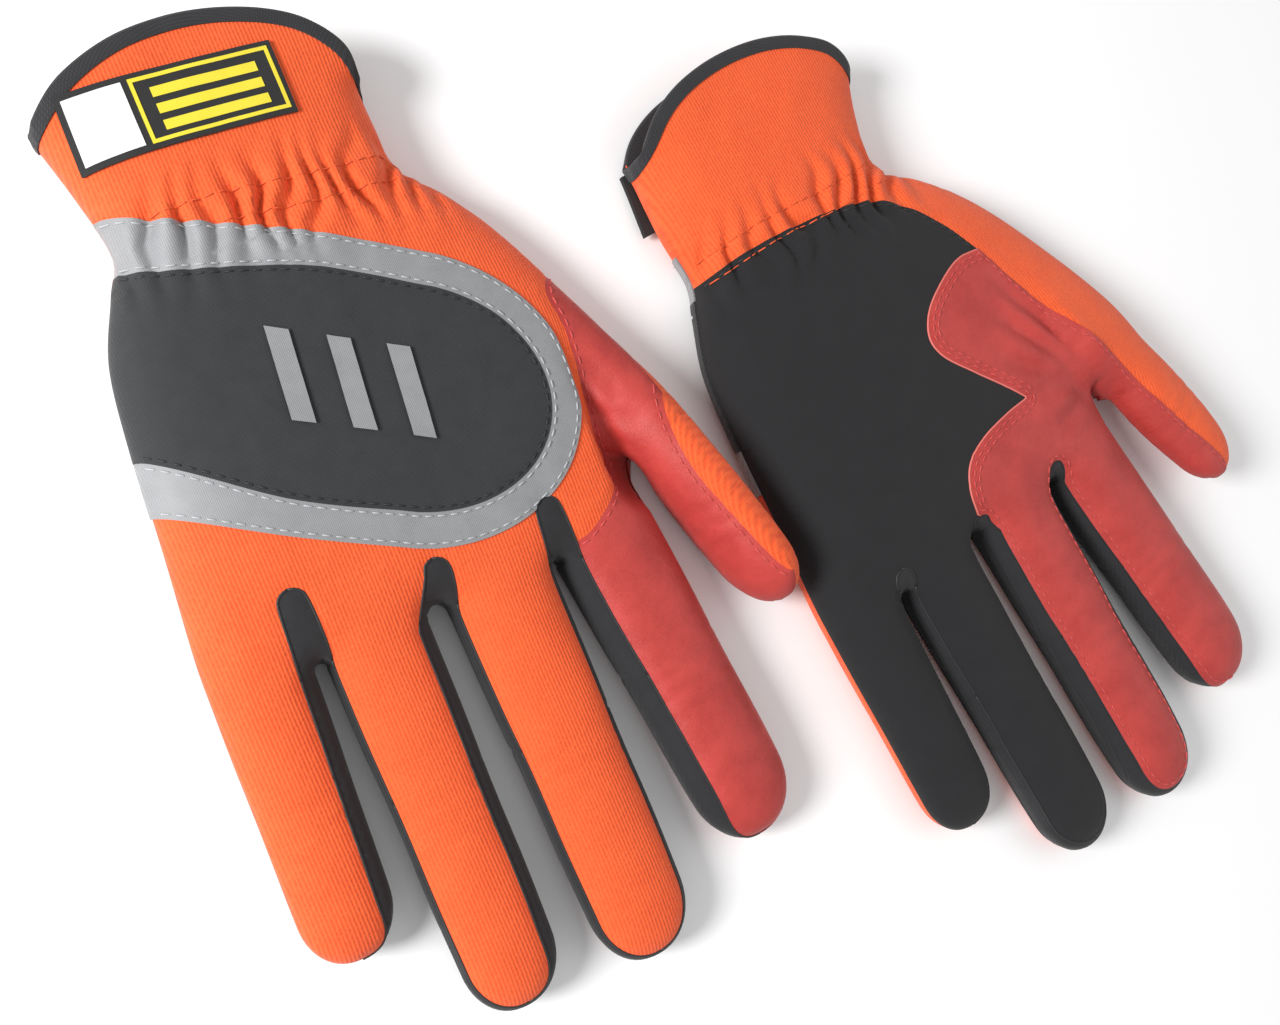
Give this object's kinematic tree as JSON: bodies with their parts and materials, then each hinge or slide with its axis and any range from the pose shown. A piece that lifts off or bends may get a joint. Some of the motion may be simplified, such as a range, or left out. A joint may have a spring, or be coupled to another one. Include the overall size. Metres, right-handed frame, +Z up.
{
  "type": "work gloves",
  "caption": "Pair of stretch-knit and synthetic-leather work gloves lying flat, one back up and one palm up, with folding fingers, thumbs and cuffs.",
  "frame": {"origin": "on the table, under the middle of the pair's box", "axes": "+Z up from the table; fingers towards -Y, both thumbs towards +X"},
  "size_m": [0.3068, 0.3054, 0.0261],
  "materials": {
    "orange_knit": "matt stretch knit",
    "black_suede": "matt synthetic suede",
    "red_leather": "satin synthetic leather",
    "charcoal_cloth": "matt woven cloth",
    "grey_reflective": "fine reflective tape",
    "black_stretch": "stretch side-wall cloth",
    "black_binding": "folded binding tape",
    "label_cloth": "woven label, plain stripes",
    "elastic": "matt"
  },
  "bodies": {
    "right_hand": {"right_back_panel": "orange_knit", "right_palm_panel": "black_suede", "right_knuckle_patch": "charcoal_cloth", "right_reflective_band": "grey_reflective", "right_palm_overlay": "red_leather", "right_wrist_elastic": "elastic", "right_fourchette_index_middle": "black_stretch", "right_fourchette_middle_ring": "black_stretch", "right_fourchette_ring_pinky": "black_stretch"},
    "right_wrist": {"right_cuff": "orange_knit", "right_hem_binding": "black_binding", "right_label": "label_cloth"},
    "right_index_lower": {"right_index_back": "red_leather", "right_index_palm": "red_leather"},
    "right_index_end": {"right_index_tip": "red_leather"},
    "right_middle_lower": {"right_middle_back": "orange_knit", "right_middle_palm": "red_leather"},
    "right_middle_end": {"right_middle_tip": "orange_knit"},
    "right_ring_lower": {"right_ring_back": "orange_knit", "right_ring_palm": "black_suede"},
    "right_ring_end": {"right_ring_tip": "orange_knit"},
    "right_pinky_lower": {"right_pinky_back": "orange_knit", "right_pinky_palm": "black_suede"},
    "right_pinky_end": {"right_pinky_tip": "orange_knit"},
    "right_thumb_lower": {"right_thumb_back": "orange_knit", "right_thumb_palm": "red_leather"},
    "right_thumb_end": {"right_thumb_tip": "red_leather"},
    "left_hand": {"left_back_panel": "orange_knit", "left_palm_panel": "black_suede", "left_knuckle_patch": "charcoal_cloth", "left_reflective_band": "grey_reflective", "left_palm_overlay": "red_leather", "left_wrist_elastic": "elastic", "left_fourchette_index_middle": "black_stretch", "left_fourchette_middle_ring": "black_stretch", "left_fourchette_ring_pinky": "black_stretch"},
    "left_wrist": {"left_cuff": "orange_knit", "left_hem_binding": "black_binding", "left_label": "label_cloth"},
    "left_index_lower": {"left_index_back": "red_leather", "left_index_palm": "red_leather"},
    "left_index_end": {"left_index_tip": "red_leather"},
    "left_middle_lower": {"left_middle_back": "orange_knit", "left_middle_palm": "red_leather"},
    "left_middle_end": {"left_middle_tip": "orange_knit"},
    "left_ring_lower": {"left_ring_back": "orange_knit", "left_ring_palm": "black_suede"},
    "left_ring_end": {"left_ring_tip": "orange_knit"},
    "left_pinky_lower": {"left_pinky_back": "orange_knit", "left_pinky_palm": "black_suede"},
    "left_pinky_end": {"left_pinky_tip": "orange_knit"},
    "left_thumb_lower": {"left_thumb_back": "orange_knit", "left_thumb_palm": "red_leather"},
    "left_thumb_end": {"left_thumb_tip": "red_leather"}
  },
  "joints": [
    {"name": "right_wrist_fold", "type": "hinge", "parent": "right_hand", "child": "right_wrist", "pos_m": [-0.0822, 0.10635, 0.013], "axis": [0.9968, -0.0802, 0], "range_deg": [-25, 25]},
    {"name": "right_index_knuckle", "type": "hinge", "parent": "right_hand", "child": "right_index_lower", "pos_m": [-0.0423, -0.00621, 0.008], "axis": [0.9997, 0.0244, 0], "range_deg": [0, 75]},
    {"name": "right_index_joint", "type": "hinge", "parent": "right_index_lower", "child": "right_index_end", "pos_m": [-0.04137, -0.0442, 0.008], "axis": [0.9997, 0.0244, 0], "range_deg": [0, 80]},
    {"name": "right_middle_knuckle", "type": "hinge", "parent": "right_hand", "child": "right_middle_lower", "pos_m": [-0.0734, -0.00371, 0.008], "axis": [0.9968, -0.0802, 0], "range_deg": [0, 75]},
    {"name": "right_middle_joint", "type": "hinge", "parent": "right_middle_lower", "child": "right_middle_end", "pos_m": [-0.07685, -0.04657, 0.008], "axis": [0.9968, -0.0802, 0], "range_deg": [0, 80]},
    {"name": "right_ring_knuckle", "type": "hinge", "parent": "right_hand", "child": "right_ring_lower", "pos_m": [-0.10639, -0.00106, 0.008], "axis": [0.9952, -0.0976, 0], "range_deg": [0, 75]},
    {"name": "right_ring_joint", "type": "hinge", "parent": "right_ring_lower", "child": "right_ring_end", "pos_m": [-0.1103, -0.04086, 0.008], "axis": [0.9952, -0.0976, 0], "range_deg": [0, 80]},
    {"name": "right_pinky_knuckle", "type": "hinge", "parent": "right_hand", "child": "right_pinky_lower", "pos_m": [-0.1345, 0.00121, 0.008], "axis": [0.99, -0.1409, 0], "range_deg": [0, 75]},
    {"name": "right_pinky_joint", "type": "hinge", "parent": "right_pinky_lower", "child": "right_pinky_end", "pos_m": [-0.13845, -0.02652, 0.008], "axis": [0.99, -0.1409, 0], "range_deg": [0, 80]},
    {"name": "right_thumb_knuckle", "type": "hinge", "parent": "right_hand", "child": "right_thumb_lower", "pos_m": [-0.01745, 0.01085, 0.013], "axis": [0.9553, 0.21, -0.2079], "range_deg": [0, 26]},
    {"name": "right_thumb_joint", "type": "hinge", "parent": "right_thumb_lower", "child": "right_thumb_end", "pos_m": [-0.01273, -0.01064, 0.013], "axis": [0.9553, 0.21, -0.2079], "range_deg": [0, 42]},
    {"name": "left_glove_lift", "type": "slide", "parent": "right_hand", "child": "left_hand", "axis": [0, 0, 1], "range_m": [0, 0.2]},
    {"name": "left_wrist_fold", "type": "hinge", "parent": "left_hand", "child": "left_wrist", "pos_m": [0.05, 0.05025, 0.013], "axis": [0.9968, 0.0802, 0], "range_deg": [-25, 25]},
    {"name": "left_index_knuckle", "type": "hinge", "parent": "left_hand", "child": "left_index_lower", "pos_m": [0.10738, -0.05448, 0.008], "axis": [-0.9829, -0.184, 0], "range_deg": [0, 75]},
    {"name": "left_index_joint", "type": "hinge", "parent": "left_index_lower", "child": "left_index_end", "pos_m": [0.11438, -0.09184, 0.008], "axis": [-0.9829, -0.184, 0], "range_deg": [0, 80]},
    {"name": "left_middle_knuckle", "type": "hinge", "parent": "left_hand", "child": "left_middle_lower", "pos_m": [0.07629, -0.05699, 0.008], "axis": [-0.9968, -0.0802, 0], "range_deg": [0, 75]},
    {"name": "left_middle_joint", "type": "hinge", "parent": "left_middle_lower", "child": "left_middle_end", "pos_m": [0.07973, -0.09985, 0.008], "axis": [-0.9968, -0.0802, 0], "range_deg": [0, 80]},
    {"name": "left_ring_knuckle", "type": "hinge", "parent": "left_hand", "child": "left_ring_lower", "pos_m": [0.04329, -0.05964, 0.008], "axis": [-0.998, -0.0628, 0], "range_deg": [0, 75]},
    {"name": "left_ring_joint", "type": "hinge", "parent": "left_ring_lower", "child": "left_ring_end", "pos_m": [0.0458, -0.09956, 0.008], "axis": [-0.998, -0.0628, 0], "range_deg": [0, 80]},
    {"name": "left_pinky_knuckle", "type": "hinge", "parent": "left_hand", "child": "left_pinky_lower", "pos_m": [0.01518, -0.0619, 0.008], "axis": [-0.9998, -0.0192, 0], "range_deg": [0, 75]},
    {"name": "left_pinky_joint", "type": "hinge", "parent": "left_pinky_lower", "child": "left_pinky_end", "pos_m": [0.01572, -0.0899, 0.008], "axis": [-0.9998, -0.0192, 0], "range_deg": [0, 80]},
    {"name": "left_thumb_knuckle", "type": "hinge", "parent": "left_hand", "child": "left_thumb_lower", "pos_m": [0.12918, -0.03367, 0.013], "axis": [-0.9095, -0.3601, -0.2079], "range_deg": [0, 26]},
    {"name": "left_thumb_joint", "type": "hinge", "parent": "left_thumb_lower", "child": "left_thumb_end", "pos_m": [0.13728, -0.05412, 0.013], "axis": [-0.9095, -0.3601, -0.2079], "range_deg": [0, 42]}
  ]
}
